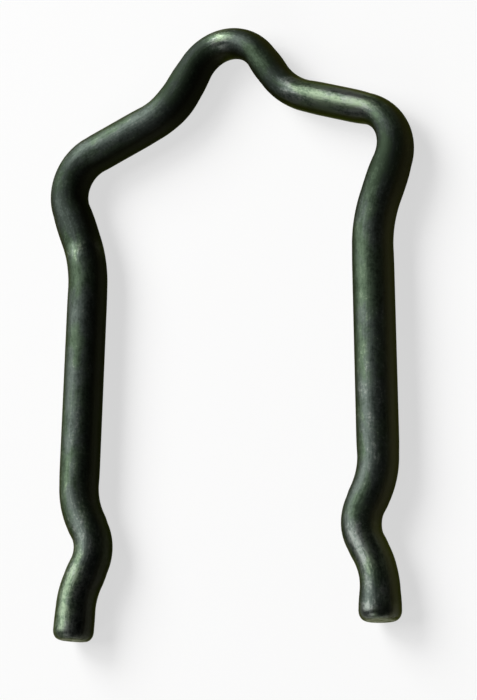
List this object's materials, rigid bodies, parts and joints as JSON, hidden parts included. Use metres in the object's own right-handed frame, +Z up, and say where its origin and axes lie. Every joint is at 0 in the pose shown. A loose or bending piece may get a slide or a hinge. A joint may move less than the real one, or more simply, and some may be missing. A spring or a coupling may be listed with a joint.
{
  "type": "wire retaining clip",
  "caption": "Flat bent clip of round spring wire: a crown, sloped shoulders and two straight legs that kink inwards near their cut ends.",
  "frame": {"origin": "under the middle of the clip's outline, on the surface that it lies on", "axes": "+Y from the open ends of the legs towards the crown, +X across the legs, +Z up through the wire's thickness"},
  "size_m": [0.0214, 0.0322, 0.002],
  "materials": {
    "black_steel_wire": "drawn spring wire with a dark grey-green oxide finish, satin, with a fine grain and a few rubbed marks"
  },
  "bodies": {
    "root": {"wire_clip": "black_steel_wire"}
  },
  "joints": []
}
